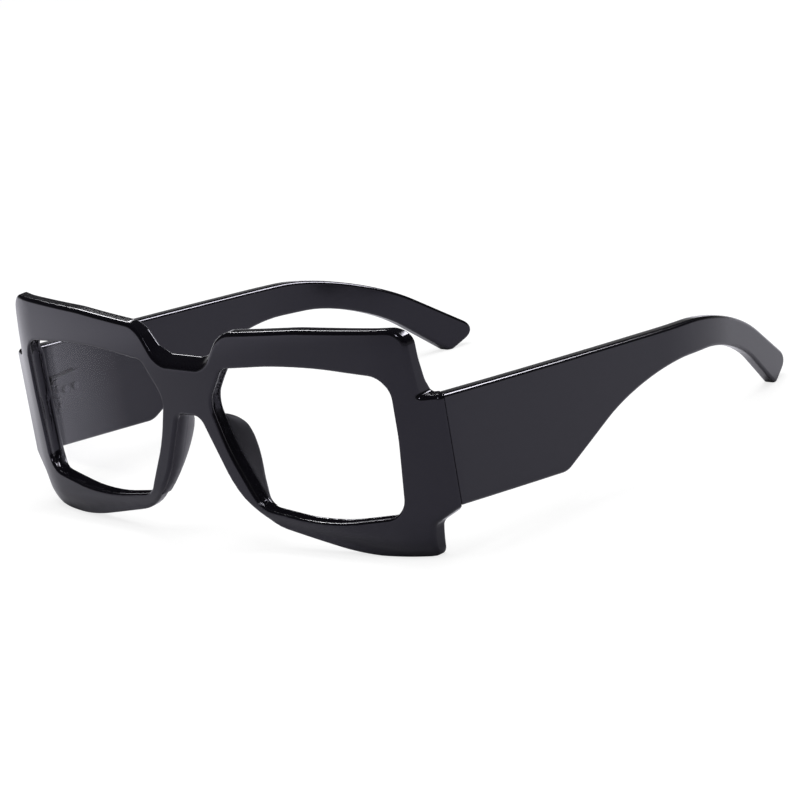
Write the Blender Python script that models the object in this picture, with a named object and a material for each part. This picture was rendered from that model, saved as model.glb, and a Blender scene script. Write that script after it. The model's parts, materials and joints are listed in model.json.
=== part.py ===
"""Reading glasses: a thick moulded front with swept corners, wide temples and five-barrel hinges.

The front is drawn in its own upright axes: x to the wearer's left, y to the rear, z up, with the
origin on the face of the bridge, level with the top of the nose arch. All lengths are in metres.
"""

import math

import bmesh
import bpy
from mathutils import Matrix, Vector

# Clearances and fineness
SEAT_GAP = 0.0003  # between pieces that touch
OVERRUN = 0.002  # how far a cutter runs past what it cuts
ARC_ERROR = 0.00006  # flats of a rounded corner stay this close to its arc
KNUCKLE_STEP = math.radians(24)
FACE_STEPS = 5  # flats of the bent front between its middle and the sweep
SWEEP_STEPS = 4
TEMPLE_STEPS = 16
BISECTIONS = 50
STRAIGHT = math.radians(0.1)  # a corner that turns less is no corner
CREASE_ANGLE = math.radians(35)  # edges that turn more stay sharp

# Front, seen from above
BROW_HALF_WIDTH = 0.0675  # centre to the top corner of the rim
ENDPIECE_REACH = 0.0069  # how far an endpiece stands out past that corner
HALF_WIDTH = BROW_HALF_WIDTH + ENDPIECE_REACH
FACE_RADIUS = 0.307
SWEEP_INSET = 0.0085  # the face turns back towards the temple from this far inside the corner
SWEEP_START = BROW_HALF_WIDTH - SWEEP_INSET
SWEEP_RADIUS = 0.0300
SWEEP_ANGLE = math.radians(30)
FRONT_THICKNESS = 0.0042

# Front, seen from ahead
FRONT_RISE = 0.0238  # top edge above the nose arch
FRONT_DROP = 0.0340  # lower corners below the nose arch
NOTCH_FLOOR = 0.0117  # dip over the bridge, above the nose arch
NOTCH_HALF_WIDTH = 0.0090
NOTCH_FLARE = 0.0063  # how far the notch's walls lean outwards
NOTCH_CANT = 0.0022  # the notch's floor climbs this much to the rear
BRIDGE_WIDTH = 0.0162
RIM_TOP = 0.0092
RIM_BOTTOM = 0.0081
RIM_SIDE = 0.0032
RIM_NOSE = 0.0050
FRONT_EDGE_RADIUS = 0.0015
REAR_EDGE_RADIUS = 0.0012
OPENING_EDGE_RADIUS = 0.0005
ENDPIECE_CORNER_RADIUS = 0.0013

# Lenses
LENS_THICKNESS = 0.0018
LENS_BITE = 0.0007  # the lens's V edge stands this far into the groove
GROOVE_WIDTH = 0.0022

# Temples, in axes whose origin is the middle of the hinge axis, with y along the level temple
PANTOSCOPIC_ANGLE = math.radians(7)
TEMPLE_LENGTH = 0.1466  # hinge axis to the end of the tip
TEMPLE_RISE = 0.0131
TEMPLE_DROP = 0.0142
TEMPLE_THICKNESS = 0.0040
TEMPLE_EDGE_RADIUS = 0.0010
KNEE_REACH = 0.0365  # hinge axis to the knee under the broad part
TIP_FALL = 0.0087  # the tip's upper corner lies this far below the axis
TIP_CUT_REACH = 0.0094  # its lower corner stops this far before the upper one
TIP_CUT_FALL = 0.0058  # and lies this far below it
BOW_APEX = 0.0370  # the broad part bulges out most this far behind the axis
BOW_RADIUS = 1.700
TUCK_START = 0.0762  # from here the temple turns in behind the ear
TUCK_RADIUS = 0.112
TUCK_ANGLE = math.radians(17.8)

# Joint of front and temple
HINGE_LEVEL = -0.0068  # middle of the hinge, from the top of the nose arch
JOINT_LAND = 0.0009  # side face left between the front's edge and the joint
MITRE_ANGLE = math.radians(33)

# Hinges
KNUCKLE_RADIUS = 0.0015
KNUCKLE_HEIGHT = 0.0013
KNUCKLES = 5
PIN_RADIUS = 0.00055
LEAF_THICKNESS = 0.0010
FRONT_LEAF_LENGTH = 0.0046
TEMPLE_LEAF_LENGTH = 0.0100
HINGE_SCREW_HEAD_RADIUS = 0.0011
HINGE_SCREW_HEAD_HEIGHT = 0.0006
SCREW_RADIUS = 0.00045
SCREW_HEAD_RADIUS = 0.0010
SCREW_HEAD_HEIGHT = 0.0004
SCREW_BITE = 0.0018  # length of a leaf screw inside the plastic
SCREW_SIDES = 12

# Nose pads
PAD_TOP = 0.0010  # below the nose arch
PAD_FOOT = 0.0025  # above the lowest point of the lens opening
PAD_HEIGHT = 0.0063
PAD_SPLAY = 0.0013  # its ridge leans outwards this far

# The standing glasses are dressed flat this deep where they touch the table
FOOT_DEPTH = 0.00025

PLASTIC = ("black_plastic", (0.012, 0.012, 0.014), 0.16, 0.0)
PAD_PLASTIC = ("black_pad_plastic", (0.016, 0.016, 0.018), 0.22, 0.0)
LENS_PLASTIC = ("clear_lens_plastic", (0.93, 0.95, 0.95), 0.03, 0.0)
HINGE_METAL = ("hinge_black_steel", (0.05, 0.05, 0.055), 0.35, 1.0)
SCREW_METAL = ("screw_black_steel", (0.06, 0.06, 0.065), 0.30, 1.0)


def clear_scene():
    for obj in list(bpy.data.objects):
        bpy.data.objects.remove(obj, do_unlink=True)


def surface(finish):
    """The named material, made once."""
    name, colour, roughness, metallic = finish
    if name in bpy.data.materials:
        return bpy.data.materials[name]
    made = bpy.data.materials.new(name)
    made.use_nodes = True
    shader = made.node_tree.nodes["Principled BSDF"]
    shader.inputs["Base Color"].default_value = (*colour, 1)
    shader.inputs["Roughness"].default_value = roughness
    shader.inputs["Metallic"].default_value = metallic
    return made


def face_outwards(bm):
    bmesh.ops.recalc_face_normals(bm, faces=bm.faces)
    if bm.calc_volume(signed=True) < 0:
        bmesh.ops.reverse_faces(bm, faces=bm.faces)


def add_object(name, bm, finish, parent, flip=False):
    """A node from a bmesh. With flip it is the mirror image, for the wearer's right side."""
    if flip:
        bmesh.ops.scale(bm, vec=(-1, 1, 1), verts=bm.verts)
    face_outwards(bm)
    mesh = bpy.data.meshes.new(name)
    bm.to_mesh(mesh)
    bm.free()
    mesh.materials.append(surface(finish))
    mesh.shade_smooth()
    mesh.set_sharp_from_angle(angle=CREASE_ANGLE)
    obj = bpy.data.objects.new(name, mesh)
    obj.parent = parent
    bpy.context.scene.collection.objects.link(obj)
    return obj


def add_axes(name, location, rotation, parent=None):
    empty = bpy.data.objects.new(name, None)
    empty.location = location
    empty.rotation_euler = rotation
    empty.parent = parent
    bpy.context.scene.collection.objects.link(empty)
    return empty


def rounded(corners):
    """Points of a closed outline, given as (u, v, radius) corners in order."""
    points = []
    count = len(corners)
    for index, (u, v, radius) in enumerate(corners):
        here = Vector((u, v))
        before = Vector(corners[index - 1][:2]) - here
        after = Vector(corners[(index + 1) % count][:2]) - here
        turn = math.pi - before.angle(after)
        if turn < STRAIGHT or not radius:
            points.append(here)
            continue
        # Half a side at most, so that neighbouring fillets never cross
        reach = min(radius * math.tan(turn / 2), before.length / 2, after.length / 2)
        radius = reach / math.tan(turn / 2)
        start = here + before.normalized() * reach
        middle = here + (before.normalized() + after.normalized()).normalized() * (
            radius / math.cos(turn / 2)
        )
        swing = (start - middle).angle_signed(here + after.normalized() * reach - middle)
        steps = max(2, math.ceil(abs(swing) / (2 * math.acos(max(0, 1 - ARC_ERROR / radius)))))
        for step in range(steps + 1):
            arm = (start - middle).copy()
            arm.rotate(Matrix.Rotation(-swing * step / steps, 2))
            points.append(middle + arm)
    return points


def offset(points, inset):
    """The closed outline moved into the side on its left by inset."""
    moved = []
    for index, point in enumerate(points):
        before = (point - points[index - 1]).normalized()
        after = (points[(index + 1) % len(points)] - point).normalized()
        normal = Vector((-before.y - after.y, before.x + after.x)).normalized()
        moved.append(point + normal * (inset / normal.dot(Vector((-before.y, before.x)))))
    return moved


def edge_rings(depth, start_radius, end_radius, steps=2):
    """(depth, inset) pairs from one face to the other, rounding both edges."""
    rings = []
    for step in range(steps + 1):
        turn = math.pi / 2 * step / steps
        rings.append((start_radius * (1 - math.cos(turn)), start_radius * (1 - math.sin(turn))))
    for step in range(steps + 1):
        turn = math.pi / 2 * step / steps
        rings.append((depth - end_radius * (1 - math.sin(turn)), end_radius * (1 - math.cos(turn))))
    return rings


def plate(loops):
    """A closed plate in (u, v, depth) from (points, rings) loops: the outline, then its holes."""
    bm = bmesh.new()
    first_edges = []
    last_edges = []
    for points, rings in loops:
        rows = []
        for depth, inset in rings:
            rows.append([bm.verts.new((*point, depth)) for point in offset(points, inset)])
        for near, far in zip(rows, rows[1:]):
            for index in range(len(near)):
                bm.faces.new((near[index - 1], near[index], far[index], far[index - 1]))
        for row, edges in ((rows[0], first_edges), (rows[-1], last_edges)):
            for index in range(len(row)):
                edges.append(bm.edges.get((row[index - 1], row[index])))
    for edges in (first_edges, last_edges):
        bmesh.ops.triangle_fill(bm, use_beauty=True, use_dissolve=False, edges=edges)
    return bm


def score(bm, axis, places):
    """Cuts every face at these places along an axis, so that the plate can be bent there."""
    for place in places:
        point = Vector((0, 0, 0))
        point[axis] = place
        normal = Vector((0, 0, 0))
        normal[axis] = 1
        everything = bm.verts[:] + bm.edges[:] + bm.faces[:]
        bmesh.ops.bisect_plane(bm, geom=everything, plane_co=point, plane_no=normal)


def trim(bm, point, normal):
    """Cuts away what lies on the normal's side of a plane and closes the cut."""
    everything = bm.verts[:] + bm.edges[:] + bm.faces[:]
    bmesh.ops.bisect_plane(bm, geom=everything, plane_co=point, plane_no=normal, clear_outer=True)
    open_edges = [edge for edge in bm.edges if len(edge.link_faces) == 1]
    if open_edges:
        bmesh.ops.holes_fill(bm, edges=open_edges, sides=0)


def turned(profile, sides):
    """A closed round solid about z from (radius, z) points, bottom to top."""
    bm = bmesh.new()
    rows = []
    for radius, height in profile:
        row = []
        for side in range(sides):
            angle = 2 * math.pi * side / sides
            row.append(bm.verts.new((radius * math.cos(angle), radius * math.sin(angle), height)))
        rows.append(row)
    for low, high in zip(rows, rows[1:]):
        for side in range(sides):
            bm.faces.new((low[side - 1], low[side], high[side], high[side - 1]))
    bm.faces.new(rows[0][::-1])
    bm.faces.new(rows[-1])
    return bm


def cylinder(radius, bottom, top):
    return turned(((radius, bottom), (radius, top)), SCREW_SIDES)


def cut(bm, cutters):
    """Takes each cutter's solid out of the body with an exact Boolean."""
    for cutter in cutters:
        pair = []
        for source in (bm, cutter):
            face_outwards(source)
            mesh = bpy.data.meshes.new("cut")
            source.to_mesh(mesh)
            source.free()
            pair.append(bpy.data.objects.new("cut", mesh))
            bpy.context.scene.collection.objects.link(pair[-1])
        boolean = pair[0].modifiers.new("cut", "BOOLEAN")
        boolean.operation = "DIFFERENCE"
        boolean.solver = "EXACT"
        boolean.object = pair[1]
        graph = bpy.context.evaluated_depsgraph_get()
        bm = bmesh.new()
        bm.from_object(pair[0], graph)
        for obj in pair:
            mesh = obj.data
            bpy.data.objects.remove(obj)
            bpy.data.meshes.remove(mesh)
    return bm


def face_turn(x):
    """How far the face has turned back at x, as an angle."""
    start = math.asin(SWEEP_START / FACE_RADIUS)
    if x <= SWEEP_START:
        return math.asin(x / FACE_RADIUS)
    lean = math.sin(start) + (x - SWEEP_START) / SWEEP_RADIUS
    return math.asin(min(lean, math.sin(SWEEP_ANGLE)))


def face_depth(x):
    """Depth of the front's face at x: a gentle arc, a tighter one, then straight."""
    x = abs(x)
    start = math.asin(SWEEP_START / FACE_RADIUS)
    depth = FACE_RADIUS * (1 - math.cos(min(face_turn(x), start)))
    if x > SWEEP_START:
        depth += SWEEP_RADIUS * (math.cos(start) - math.cos(face_turn(x)))
    return depth + max(0, x - sweep_end()) * math.tan(SWEEP_ANGLE)


def sweep_end():
    return SWEEP_START + SWEEP_RADIUS * (math.sin(SWEEP_ANGLE) - SWEEP_START / FACE_RADIUS)


def joint_outer():
    """The joint's outer edge, in x and y of the front's axes."""
    return Vector((HALF_WIDTH, face_depth(HALF_WIDTH) + JOINT_LAND))


def joint_inner():
    return joint_outer() + Vector((-1, math.tan(MITRE_ANGLE))) * TEMPLE_THICKNESS


def hinge_seat_slope():
    """Slope of the flat stretch behind the swept corner that carries the front leaf."""
    run = joint_inner() - Vector((SWEEP_START, rear_depth(SWEEP_START)))
    return run.y / run.x


def rear_depth(x):
    """Depth of the front's rear face at x: parallel to the face, then flat behind the corner."""
    x = abs(x)
    if x <= SWEEP_START:
        return face_depth(x) + FRONT_THICKNESS / math.cos(face_turn(x))
    return rear_depth(SWEEP_START) + (x - SWEEP_START) * hinge_seat_slope()


def hinge_axis():
    """The hinge axis in the front's axes: clear of the leaf seat and of the temple's inner face."""
    away = KNUCKLE_RADIUS + SEAT_GAP
    slope = math.atan(hinge_seat_slope())
    inner = joint_inner()
    depth = inner.y + away * (1 - math.sin(slope)) / math.cos(slope)
    return Vector((inner.x - away, depth, HINGE_LEVEL))


def temple_to_front(point):
    """A point of the temple's axes in the front's axes."""
    return Matrix.Rotation(-PANTOSCOPIC_ANGLE, 3, "X") @ Vector(point) + hinge_axis()


def endpiece_levels():
    """Heights of the endpiece's top and bottom: those of the temple's end at the joint."""
    back = joint_outer().y - hinge_axis().y
    levels = []
    for height in (TEMPLE_RISE, -TEMPLE_DROP):
        along = (back - height * math.sin(PANTOSCOPIC_ANGLE)) / math.cos(PANTOSCOPIC_ANGLE)
        levels.append(temple_to_front((0, along, height)).z)
    return levels


# Outline corners of the opening as shares of its box, with radii as shares of its height
opening_shares = (
    (0.105, 0.946, 0.073),
    (0.000, 0.715, 0.146),
    (0.062, 0.432, 0.980),
    (0.205, 0.066, 0.130),
    (0.550, 0.000, 1.460),
    (0.970, 0.090, 0.160),
    (1.000, 0.559, 1.460),
    (1.000, 0.932, 0.170),
    (0.514, 1.000, 2.900),
)


def opening_box():
    left = BRIDGE_WIDTH / 2
    low = RIM_BOTTOM - FRONT_DROP
    return left, low, BROW_HALF_WIDTH - RIM_SIDE - left, FRONT_RISE - RIM_TOP - low


def opening_outline():
    """The opening on the wearer's left, anticlockwise from ahead."""
    left, low, width, height = opening_box()
    corners = [(left + u * width, low + v * height, r * height) for u, v, r in opening_shares]
    return rounded(corners)


# Outline corners: across as shares of the brow's half width, up or down as shares of the rise
# or the drop, and radii as shares of the rise
brow_shares = ((0.561, 0.985, 2.500), (1.000, 1.000, 0.155))
cheek_shares = (
    (1.000, 0.732, 0.105), (0.968, 1.000, 0.092), (0.679, 0.959, 3.400), (0.310, 0.794, 0.630),
)
# Corners down the nose: across as shares of the opening's width, before the rim's own width
flank_shares = ((0.158, 0.559, 1.050), (0.014, 0.018, 0.126))
ledge_share = 1.007
notch_foot_share = 0.150
notch_head_share = 0.210
notch_head_rise_share = 0.908


def front_outline():
    """The front's outline, anticlockwise from ahead, from its wearer's left half."""
    left, _, width, _ = opening_box()
    top, bottom = endpiece_levels()
    half = [
        (NOTCH_HALF_WIDTH, NOTCH_FLOOR, notch_foot_share * FRONT_RISE),
        (
            NOTCH_HALF_WIDTH + NOTCH_FLARE,
            notch_head_rise_share * FRONT_RISE,
            notch_head_share * FRONT_RISE,
        ),
    ]
    for across, up, radius in brow_shares:
        half.append((across * BROW_HALF_WIDTH, up * FRONT_RISE, radius * FRONT_RISE))
    half.append((ledge_share * BROW_HALF_WIDTH, top, ENDPIECE_CORNER_RADIUS))
    half.append((HALF_WIDTH, top, ENDPIECE_CORNER_RADIUS))
    half.append((HALF_WIDTH, bottom, ENDPIECE_CORNER_RADIUS))
    for across, down, radius in cheek_shares:
        half.append((across * BROW_HALF_WIDTH, -down * FRONT_DROP, radius * FRONT_RISE))
    for across, down, radius in flank_shares:
        half.append((left + across * width - RIM_NOSE, -down * FRONT_DROP, radius * FRONT_RISE))
    other = [(-x, z, radius) for x, z, radius in half]
    return rounded(half[::-1] + other)


def bend_front(bm):
    """Bends the flat front into its face curve and cants the notch's floor."""
    for vert in bm.verts:
        x, z, depth = vert.co
        share = depth / FRONT_THICKNESS
        beyond = max(0, abs(x) - NOTCH_HALF_WIDTH) / NOTCH_FLARE
        lift = NOTCH_CANT * share * max(0, min(1, z / NOTCH_FLOOR)) * max(0, 1 - beyond)
        vert.co = (x, face_depth(x) + share * (rear_depth(x) - face_depth(x)), z + lift)


def bend_places():
    """Where the front is scored: evenly along the gentle arc, closer in the sweep."""
    places = [SWEEP_START * step / FACE_STEPS for step in range(FACE_STEPS + 1)]
    run = sweep_end() - SWEEP_START
    places += [SWEEP_START + run * (step + 1) / SWEEP_STEPS for step in range(SWEEP_STEPS)]
    return sorted({sign * place for place in places for sign in (-1, 1)})


def build_front():
    """The front in its own axes, with lens grooves, mitred endpieces and leaf screw holes."""
    rim = edge_rings(FRONT_THICKNESS, FRONT_EDGE_RADIUS, REAR_EDGE_RADIUS)
    middle = FRONT_THICKNESS / 2
    depth = LENS_BITE + SEAT_GAP
    groove = [(middle - GROOVE_WIDTH / 2, 0), (middle, depth), (middle + GROOVE_WIDTH / 2, 0)]
    wall = edge_rings(FRONT_THICKNESS, OPENING_EDGE_RADIUS, OPENING_EDGE_RADIUS, steps=1)
    wall[2:2] = groove
    left_hole = opening_outline()[::-1]
    right_hole = [Vector((-point.x, point.y)) for point in left_hole[::-1]]
    bm = plate(((front_outline(), rim), (left_hole, wall), (right_hole, wall)))
    score(bm, 0, bend_places())
    bend_front(bm)
    for side in (1, -1):
        outer = joint_outer()
        run = joint_inner() - outer
        trim(bm, (side * outer.x, outer.y, 0), (side * run.y, -run.x, 0))
    holes = []
    for side in (1, -1):
        for u, height in screw_places(front_screw_shares, FRONT_LEAF_LENGTH):
            hole = screw_hole()
            hole.transform(screw_axes(front_leaf_axes(), u, height))
            hole.transform(Matrix.Translation(hinge_axis()))
            bmesh.ops.scale(hole, vec=(side, 1, 1), verts=hole.verts)
            holes.append(hole)
    return cut(bm, holes)


def build_lens():
    """The wearer's left lens: its V edge sits in the groove, its faces clear the rim."""
    first = (FRONT_THICKNESS - LENS_THICKNESS) / 2
    rings = (
        (first, SEAT_GAP),
        (first + LENS_THICKNESS / 2, -LENS_BITE),
        (first + LENS_THICKNESS, SEAT_GAP),
    )
    bm = plate(((opening_outline(), rings),))
    score(bm, 0, [place for place in bend_places() if place > 0])
    bend_front(bm)
    return bm


def temple_side(y):
    """x of the temple's outer face in the temple's axes: a slight bulge, then tucked in."""
    slope = (min(y, TUCK_START) - BOW_APEX) / BOW_RADIUS
    side = -BOW_RADIUS * slope * slope / 2
    if y > TUCK_START:
        end = TUCK_START + TUCK_RADIUS * (math.sin(TUCK_ANGLE) - slope)
        turned_in = slope + (min(y, end) - TUCK_START) / TUCK_RADIUS
        side -= TUCK_RADIUS * (math.sqrt(1 - slope**2) - math.sqrt(1 - turned_in**2))
        side -= max(0, y - end) * math.tan(TUCK_ANGLE)
    return side


# Temple outline corners behind the knee: along as shares of the reach, heights as shares of the
# rise, radii as shares of the reach
temple_shares = (
    (0.465, 0.355, 0.535),
    (0.755, 0.355, 0.390),
)
knee_radius_share = 0.015
tip_lower_radius_share = 0.013
tip_upper_radius_share = 0.022
shoulder_share = 0.748
shoulder_radius_share = 0.640


def temple_outline():
    """The temple seen from its own outer side, anticlockwise in y and z, past the joint ahead."""
    start = -hinge_axis().y + joint_outer().y - TEMPLE_RISE
    corners = [
        (start, -TEMPLE_DROP, 0),
        (KNEE_REACH, -TEMPLE_DROP, knee_radius_share * TEMPLE_LENGTH),
    ]
    for along, up, radius in temple_shares:
        corners.append((along * TEMPLE_LENGTH, up * TEMPLE_RISE, radius * TEMPLE_LENGTH))
    corners.append(
        (
            TEMPLE_LENGTH - TIP_CUT_REACH,
            -TIP_FALL - TIP_CUT_FALL,
            tip_lower_radius_share * TEMPLE_LENGTH,
        )
    )
    corners.append((TEMPLE_LENGTH, -TIP_FALL, tip_upper_radius_share * TEMPLE_LENGTH))
    corners.append(
        (shoulder_share * TEMPLE_LENGTH, TEMPLE_RISE, shoulder_radius_share * TEMPLE_LENGTH)
    )
    corners.append((start, TEMPLE_RISE, 0))
    return rounded(corners)


def build_temple():
    """The wearer's left temple in its own axes, mitred at the joint, with leaf screw holes."""
    rings = edge_rings(TEMPLE_THICKNESS, TEMPLE_EDGE_RADIUS, TEMPLE_EDGE_RADIUS)
    bm = plate(((temple_outline(), rings),))
    score(bm, 0, [TEMPLE_LENGTH * (step + 1) / TEMPLE_STEPS for step in range(TEMPLE_STEPS - 1)])
    outer = joint_outer()
    joint = outer.y - hinge_axis().y
    base = HALF_WIDTH - hinge_axis().x - temple_side(joint)
    for vert in bm.verts:
        y, z, depth = vert.co
        vert.co = (base + temple_side(y) - depth, y, z)
    # The mitre lies along the front's own height, which leans against the temple's
    into_temple = Matrix.Rotation(PANTOSCOPIC_ANGLE, 3, "X")
    run = joint_inner() - outer
    normal = Vector((-run.y, run.x, 0)).normalized()
    point = Vector((outer.x - hinge_axis().x, joint, 0)) - normal * SEAT_GAP
    trim(bm, into_temple @ point, into_temple @ normal)
    holes = []
    for u, height in screw_places(temple_screw_shares, TEMPLE_LEAF_LENGTH):
        hole = screw_hole()
        hole.transform(screw_axes(temple_leaf_axes(), u, height))
        hole.transform(into_temple.to_4x4())
        holes.append(hole)
    return cut(bm, holes)


# Places of the leaf screws as shares of the leaf's length and of the barrel's height
front_screw_shares = ((0.70, 0.27), (0.70, -0.27))
temple_screw_shares = ((0.44, 0.0), (0.78, 0.0))


def barrel_height():
    return KNUCKLES * KNUCKLE_HEIGHT + (KNUCKLES - 1) * SEAT_GAP


def front_leaf_axes():
    """Columns along the leaf, off its seat and up, in the hinge's axes."""
    slope = math.atan(hinge_seat_slope())
    along = (-math.cos(slope), -math.sin(slope), 0)
    off = (-math.sin(slope), math.cos(slope), 0)
    return Matrix((along, off, (0, 0, 1))).transposed()


def temple_leaf_axes():
    return Matrix(((0, 1, 0), (-1, 0, 0), (0, 0, 1))).transposed()


def screw_places(shares, length):
    return [(along * length, up * barrel_height()) for along, up in shares]


def screw_axes(axes, u, height):
    """Stands a screw's own z off the leaf, with its origin on the leaf's free face."""
    stand = Matrix((axes.col[0], axes.col[2], axes.col[1])).transposed().to_4x4()
    free_face = LEAF_THICKNESS - KNUCKLE_RADIUS
    stand.translation = axes @ Vector((u, free_face, height))
    return stand


def screw_hole():
    """A leaf screw's hole in the plastic, in the screw's axes."""
    seat = -LEAF_THICKNESS - SEAT_GAP
    return cylinder(SCREW_RADIUS + SEAT_GAP, seat - SCREW_BITE - SEAT_GAP, seat + SEAT_GAP)


def build_leaf_screw():
    tip = -LEAF_THICKNESS - SEAT_GAP - SCREW_BITE
    head = SEAT_GAP + SCREW_HEAD_HEIGHT
    profile = (
        (SCREW_RADIUS, tip),
        (SCREW_RADIUS, SEAT_GAP),
        (SCREW_HEAD_RADIUS, SEAT_GAP),
        (SCREW_HEAD_RADIUS, head),
    )
    return turned(profile, SCREW_SIDES)


def build_hinge_screw():
    """The pin that joins the barrels, with its head on top."""
    half = barrel_height() / 2
    profile = (
        (PIN_RADIUS, -half - SEAT_GAP),
        (PIN_RADIUS, half + SEAT_GAP),
        (HINGE_SCREW_HEAD_RADIUS, half + SEAT_GAP),
        (HINGE_SCREW_HEAD_RADIUS, half + SEAT_GAP + HINGE_SCREW_HEAD_HEIGHT),
    )
    return turned(profile, SCREW_SIDES)


def build_leaf(length, axes, first_knuckle, screw_shares):
    """A hinge leaf in the hinge's axes: a plate rolled into every second knuckle."""
    bottom = -KNUCKLE_RADIUS
    top = bottom + LEAF_THICKNESS
    start = math.asin(top / KNUCKLE_RADIUS)
    sweep = math.pi * 3 / 2 - start
    steps = math.ceil(sweep / KNUCKLE_STEP)
    points = [Vector((length, bottom)), Vector((length, top))]
    for step in range(steps + 1):
        angle = start + sweep * step / steps
        points.append(Vector((math.cos(angle), math.sin(angle))) * KNUCKLE_RADIUS)
    half = barrel_height() / 2
    body = plate(((points, ((-half, 0), (half, 0))),))
    body.transform(axes.to_4x4())
    pitch = KNUCKLE_HEIGHT + SEAT_GAP
    cutters = []
    for index in range(KNUCKLES):
        if index % 2 != first_knuckle:
            low = index * pitch - half - (OVERRUN if index == 0 else SEAT_GAP)
            high = index * pitch - half + KNUCKLE_HEIGHT
            high += OVERRUN if index == KNUCKLES - 1 else SEAT_GAP
            cutters.append(cylinder(KNUCKLE_RADIUS + SEAT_GAP, low, high))
    cutters.append(cylinder(PIN_RADIUS + SEAT_GAP, -half - OVERRUN, half + OVERRUN))
    for u, height in screw_places(screw_shares, length):
        hole = cylinder(SCREW_RADIUS + SEAT_GAP, -LEAF_THICKNESS - OVERRUN, OVERRUN)
        hole.transform(screw_axes(axes, u, height))
        cutters.append(hole)
    return cut(body, cutters)


# Nose pad stations: down the pad and its height there, as shares of its length and height, and
# its section: across the rim and off it, as shares of the rim's width and the station's height
pad_station_shares = (
    (0.00, 0.25), (0.08, 0.64), (0.19, 0.95), (0.29, 1.00), (0.40, 0.97), (0.50, 0.89),
    (0.62, 0.74), (0.745, 0.54), (0.86, 0.36), (0.95, 0.22), (1.00, 0.10),
)
pad_section_shares = (
    (0.04, 0.0), (0.17, 0.48), (0.35, 0.87), (0.50, 1.0), (0.66, 0.90), (0.83, 0.50), (0.95, 0.0),
)


def first_crossing(outline, z):
    """The smallest positive x at which an outline crosses this height."""
    found = []
    for index, here in enumerate(outline):
        before = outline[index - 1]
        if (before.y - z) * (here.y - z) < 0:
            x = before.x + (here.x - before.x) * (z - before.y) / (here.y - before.y)
            if x > 0:
                found.append(x)
    return min(found)


def build_pad():
    """The wearer's left nose pad: a splayed fin along the rear of the rim's nose side."""
    bm = bmesh.new()
    outline = front_outline()
    opening = opening_outline()
    length = -PAD_TOP - PAD_FOOT - opening_box()[1]
    rows = []
    for down, rise in pad_station_shares:
        z = -PAD_TOP - down * length
        inner = first_crossing(outline, z)
        width = first_crossing(opening, z) - inner
        row = []
        for across, off in pad_section_shares:
            x = inner + across * width
            y = rear_depth(x) + SEAT_GAP
            lean = off * rise * Vector((PAD_SPLAY, PAD_HEIGHT))
            row.append(bm.verts.new((x + lean.x, y + lean.y, z)))
        rows.append(row)
    for near, far in zip(rows, rows[1:]):
        for index in range(len(near)):
            bm.faces.new((near[index - 1], near[index], far[index], far[index - 1]))
    bm.faces.new(rows[0])
    bm.faces.new(rows[-1])
    return bm


def lowest(points, tilt):
    return min(y * math.sin(tilt) + z * math.cos(tilt) for _, y, z in points)


def resting_tilt(front_points, temple_points):
    """The front's lean at which its corners and the temple tips stand on one level."""
    low, high = -math.pi / 4, math.pi / 4
    for _ in range(BISECTIONS):
        middle = (low + high) / 2
        if lowest(temple_points, middle) > lowest(front_points, middle):
            high = middle
        else:
            low = middle
    return (low + high) / 2


def main():
    clear_scene()
    front = build_front()
    temple = build_temple()
    front_points = [vert.co.copy() for vert in front.verts]
    temple_points = [temple_to_front(vert.co) for vert in temple.verts]
    tilt = resting_tilt(front_points, temple_points)
    floor = lowest(front_points, tilt) + FOOT_DEPTH
    down = Vector((0, -math.sin(tilt), -math.cos(tilt)))
    foot = -down * floor
    trim(front, foot, down)
    into_temple = Matrix.Rotation(PANTOSCOPIC_ANGLE, 3, "X")
    trim(temple, into_temple @ (foot - hinge_axis()), into_temple @ down)

    # Set down so that the box around the open glasses is centred over the origin
    stand = Matrix.Rotation(tilt, 3, "X")
    depths = [(stand @ point).y for point in front_points + temple_points]
    place = Vector((0, -(min(depths) + max(depths)) / 2, -floor))
    front_axes = add_axes("front_axes", place, (tilt, 0, 0))
    add_object("front_frame", front, PLASTIC, front_axes)

    for side, wearer in ((1, "left"), (-1, "right")):
        flip = side < 0
        add_object("lens_" + wearer, build_lens(), LENS_PLASTIC, front_axes, flip)
        add_object("nose_pad_" + wearer, build_pad(), PAD_PLASTIC, front_axes, flip)
        axis = hinge_axis()
        pivot = (side * axis.x, axis.y, axis.z)
        fixed = add_axes("hinge_axes_" + wearer, pivot, (0, 0, 0), front_axes)
        swing = add_axes("temple_axes_" + wearer, (0, 0, 0), (0, 0, 0), fixed)
        body = add_object("temple_" + wearer, temple.copy(), PLASTIC, swing, flip)
        body.rotation_euler = (-PANTOSCOPIC_ANGLE, 0, 0)
        leaves = (
            ("front", fixed, FRONT_LEAF_LENGTH, front_leaf_axes(), 0, front_screw_shares),
            ("temple", swing, TEMPLE_LEAF_LENGTH, temple_leaf_axes(), 1, temple_screw_shares),
        )
        for leaf, parent, length, axes, first, shares in leaves:
            body = build_leaf(length, axes, first, shares)
            add_object(f"hinge_{leaf}_leaf_{wearer}", body, HINGE_METAL, parent, flip)
            for number, (u, height) in enumerate(screw_places(shares, length), 1):
                screw = build_leaf_screw()
                screw.transform(screw_axes(axes, u, height))
                name = f"{leaf}_leaf_screw_{wearer}_{number}"
                add_object(name, screw, SCREW_METAL, parent, flip)
        add_object("hinge_screw_" + wearer, build_hinge_screw(), SCREW_METAL, fixed, flip)
    temple.free()


main()
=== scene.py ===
"""Reading glasses: a polished black front with clear lenses, on broad folding temples."""

import json
import math

import bmesh
import bpy
from bmesh.types import BMEdge, BMVert
from mathutils import Matrix, Vector

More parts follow.
